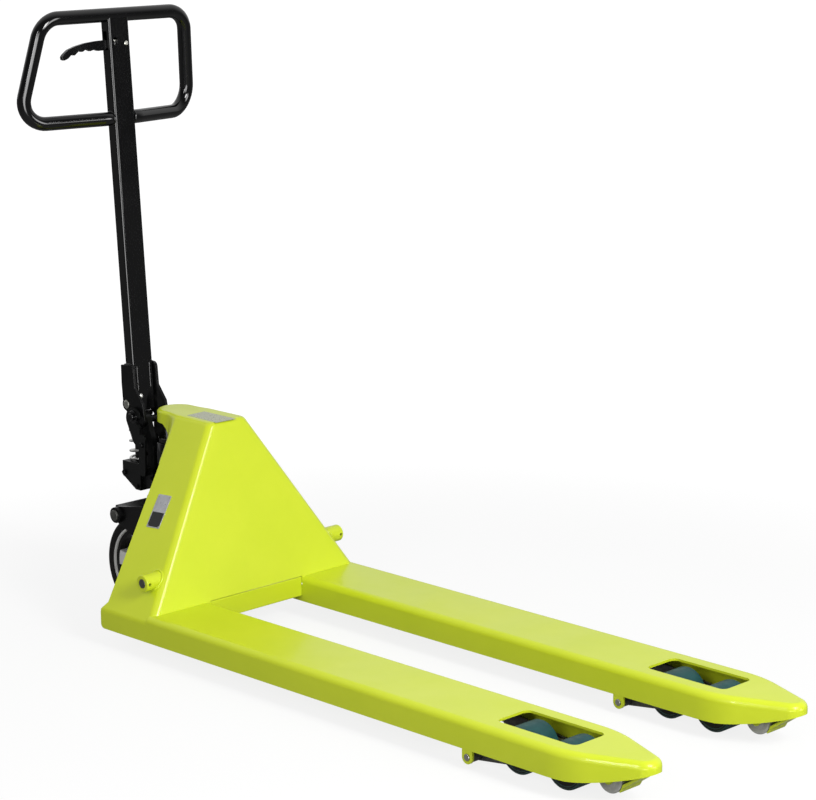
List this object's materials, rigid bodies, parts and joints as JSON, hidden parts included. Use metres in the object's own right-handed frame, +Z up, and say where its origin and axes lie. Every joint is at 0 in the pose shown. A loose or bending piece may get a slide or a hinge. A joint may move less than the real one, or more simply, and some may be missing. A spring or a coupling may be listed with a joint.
{
  "type": "hand pallet truck",
  "caption": "Hand pallet truck with long forks, a folded hood, a steered hydraulic pump unit, a swinging tiller with loop and release lever, and tandem load rollers linked to the lift.",
  "frame": {"origin": "on the floor, under the middle of the whole truck's length and width", "axes": "+X towards the fork tips, +Y to the truck's left, +Z up"},
  "size_m": [1.5775, 0.525, 1.1679],
  "materials": {
    "lime_paint": "smooth gloss powder coat, lime",
    "black_paint": "gloss black enamel",
    "zinc": "zinc plated, turned or drawn",
    "chrome": "hard chrome, ground",
    "cast_aluminium": "die cast, turned faces",
    "tyre": "solid moulded rubber",
    "polyurethane": "cast polyurethane, teal",
    "nylon": "turned nylon, grey"
  },
  "bodies": {
    "chassis": {"fork_left": "lime_paint", "fork_right": "lime_paint", "hood_shell": "lime_paint", "hood_top": "lime_paint", "crossbar": "lime_paint", "torsion_boss_left": "lime_paint", "torsion_boss_right": "lime_paint", "torsion_shaft": "zinc", "lug_pin_left": "zinc", "lug_pin_right": "zinc", "entry_axle_left": "zinc", "entry_axle_right": "zinc", "lift_ram": "chrome", "ram_cup": "black_paint"},
    "rocker": {"rocker": "black_paint", "trunnion_pin_left": "zinc", "trunnion_pin_right": "zinc"},
    "carriage": {"thrust_ring": "black_paint", "thrust_bearing": "zinc"},
    "steering": {"pump_body": "black_paint", "lift_cylinder": "black_paint", "gland_nut": "black_paint", "plunger_guide": "zinc", "tiller_pivot_pin": "zinc", "wheel_axle": "zinc", "filler_plug": "zinc", "relief_screw": "zinc", "axle_cap_left": "zinc", "axle_cap_right": "zinc", "plunger_spring": "zinc"},
    "plunger": {"pump_plunger": "zinc"},
    "valve": {"valve_lever": "zinc"},
    "tiller": {"tiller_tube": "black_paint", "handle_loop": "black_paint", "tiller_cheek_left": "black_paint", "tiller_cheek_right": "black_paint", "roller_pin": "zinc", "lever_pin": "zinc"},
    "cam": {"pump_roller": "zinc"},
    "trigger": {"release_lever": "black_paint"},
    "pull_wire": {"pull_rod": "zinc"},
    "push_rod_left": {"push_rod_left": "black_paint"},
    "bracket_left": {"roller_bracket_left": "black_paint", "bogie_pin_left": "zinc"},
    "bogie_left": {"bogie_left": "zinc"},
    "wheel_left": {"wheel_hub_left": "cast_aluminium", "wheel_tyre_left": "tyre"},
    "entry_roller_left": {"entry_roller_left": "nylon"},
    "load_roller_left_rear": {"load_roller_left_rear": "polyurethane"},
    "load_roller_left_front": {"load_roller_left_front": "polyurethane"},
    "push_rod_right": {"push_rod_right": "black_paint"},
    "bracket_right": {"roller_bracket_right": "black_paint", "bogie_pin_right": "zinc"},
    "bogie_right": {"bogie_right": "zinc"},
    "wheel_right": {"wheel_hub_right": "cast_aluminium", "wheel_tyre_right": "tyre"},
    "entry_roller_right": {"entry_roller_right": "nylon"},
    "load_roller_right_rear": {"load_roller_right_rear": "polyurethane"},
    "load_roller_right_front": {"load_roller_right_front": "polyurethane"}
  },
  "joints": [
    {"name": "lift_slide", "type": "slide", "parent": "chassis", "child": "carriage", "axis": [0, 0, -1], "range_m": [0, 0.115]},
    {"name": "steer_turn", "type": "hinge", "parent": "carriage", "child": "steering", "pos_m": [-0.59925, 0, 0.1], "axis": [0, 0, 1], "range_deg": [-95, 95]},
    {"name": "rocker_swing", "type": "hinge", "parent": "chassis", "child": "rocker", "pos_m": [-0.39925, 0, 0.14], "axis": [0, -1, 0], "range_deg": [0, 31.4]},
    {"name": "tiller_swing", "type": "hinge", "parent": "steering", "child": "tiller", "pos_m": [-0.66125, 0, 0.372], "axis": [0, -1, 0], "range_deg": [0, 66], "stiffness_Nm_per_rad": 26, "springref_deg": -22.92},
    {"name": "plunger_slide", "type": "slide", "parent": "steering", "child": "plunger", "axis": [0, 0, -1], "range_m": [0, 0.0535], "deforming": ["plunger_spring"]},
    {"name": "valve_swing", "type": "hinge", "parent": "steering", "child": "valve", "pos_m": [-0.65225, 0, 0.306], "axis": [0, 1, 0], "range_deg": [0, 10.9]},
    {"name": "cam_spin", "type": "hinge", "parent": "tiller", "child": "cam", "pos_m": [-0.70234, 0, 0.39869], "axis": [0, 1, 0], "continuous": true},
    {"name": "lever_swing", "type": "hinge", "parent": "tiller", "child": "trigger", "pos_m": [-0.74251, 0.0145, 1.09964], "axis": [-0.9976, 0, -0.0685], "range_deg": [0, 18], "stiffness_Nm_per_rad": 0.6, "springref_deg": -17.19},
    {"name": "rod_slide", "type": "slide", "parent": "tiller", "child": "pull_wire", "axis": [-0.0685, 0, 0.9976], "range_m": [0, 0.0085]},
    {"name": "wheel_spin_left", "type": "hinge", "parent": "steering", "child": "wheel_left", "pos_m": [-0.59925, 0.07, 0.1], "axis": [0, 1, 0], "continuous": true},
    {"name": "push_rod_turn_left", "type": "hinge", "parent": "rocker", "child": "push_rod_left", "pos_m": [-0.42136, 0.1895, 0.06124], "axis": [0, -1, 0], "range_deg": [-31.4, 0]},
    {"name": "bracket_swing_left", "type": "hinge", "parent": "chassis", "child": "bracket_left", "pos_m": [0.44575, 0.1895, 0.022], "axis": [0, 1, 0], "range_deg": [0, 59.7]},
    {"name": "bogie_turn_left", "type": "hinge", "parent": "bracket_left", "child": "bogie_left", "pos_m": [0.56875, 0.1895, 0.04], "axis": [0, 1, 0], "range_deg": [-59.7, 0]},
    {"name": "entry_spin_left", "type": "hinge", "parent": "chassis", "child": "entry_roller_left", "pos_m": [0.71075, 0.1895, 0.043], "axis": [0, 1, 0], "continuous": true},
    {"name": "load_spin_left_rear", "type": "hinge", "parent": "bogie_left", "child": "load_roller_left_rear", "pos_m": [0.51875, 0.1895, 0.04], "axis": [0, 1, 0], "continuous": true},
    {"name": "load_spin_left_front", "type": "hinge", "parent": "bogie_left", "child": "load_roller_left_front", "pos_m": [0.61875, 0.1895, 0.04], "axis": [0, 1, 0], "continuous": true},
    {"name": "wheel_spin_right", "type": "hinge", "parent": "steering", "child": "wheel_right", "pos_m": [-0.59925, -0.07, 0.1], "axis": [0, 1, 0], "continuous": true},
    {"name": "push_rod_turn_right", "type": "hinge", "parent": "rocker", "child": "push_rod_right", "pos_m": [-0.42136, -0.1895, 0.06124], "axis": [0, -1, 0], "range_deg": [-31.4, 0]},
    {"name": "bracket_swing_right", "type": "hinge", "parent": "chassis", "child": "bracket_right", "pos_m": [0.44575, -0.1895, 0.022], "axis": [0, 1, 0], "range_deg": [0, 59.7]},
    {"name": "bogie_turn_right", "type": "hinge", "parent": "bracket_right", "child": "bogie_right", "pos_m": [0.56875, -0.1895, 0.04], "axis": [0, 1, 0], "range_deg": [-59.7, 0]},
    {"name": "entry_spin_right", "type": "hinge", "parent": "chassis", "child": "entry_roller_right", "pos_m": [0.71075, -0.1895, 0.043], "axis": [0, 1, 0], "continuous": true},
    {"name": "load_spin_right_rear", "type": "hinge", "parent": "bogie_right", "child": "load_roller_right_rear", "pos_m": [0.51875, -0.1895, 0.04], "axis": [0, 1, 0], "continuous": true},
    {"name": "load_spin_right_front", "type": "hinge", "parent": "bogie_right", "child": "load_roller_right_front", "pos_m": [0.61875, -0.1895, 0.04], "axis": [0, 1, 0], "continuous": true}
  ],
  "couplings": [
    {"joint": "rocker_swing", "follows": "lift_slide", "rad_per_m": 4.758},
    {"joint": "plunger_slide", "follows": "tiller_swing", "m_per_rad": 0.04633},
    {"joint": "valve_swing", "follows": "lever_swing", "ratio": 0.6},
    {"joint": "rod_slide", "follows": "lever_swing", "m_per_rad": 0.02548},
    {"joint": "push_rod_turn_left", "follows": "lift_slide", "rad_per_m": -4.758},
    {"joint": "bracket_swing_left", "follows": "lift_slide", "rad_per_m": 9.047},
    {"joint": "bogie_turn_left", "follows": "lift_slide", "rad_per_m": -9.047},
    {"joint": "push_rod_turn_right", "follows": "lift_slide", "rad_per_m": -4.758},
    {"joint": "bracket_swing_right", "follows": "lift_slide", "rad_per_m": 9.047},
    {"joint": "bogie_turn_right", "follows": "lift_slide", "rad_per_m": -9.047}
  ]
}
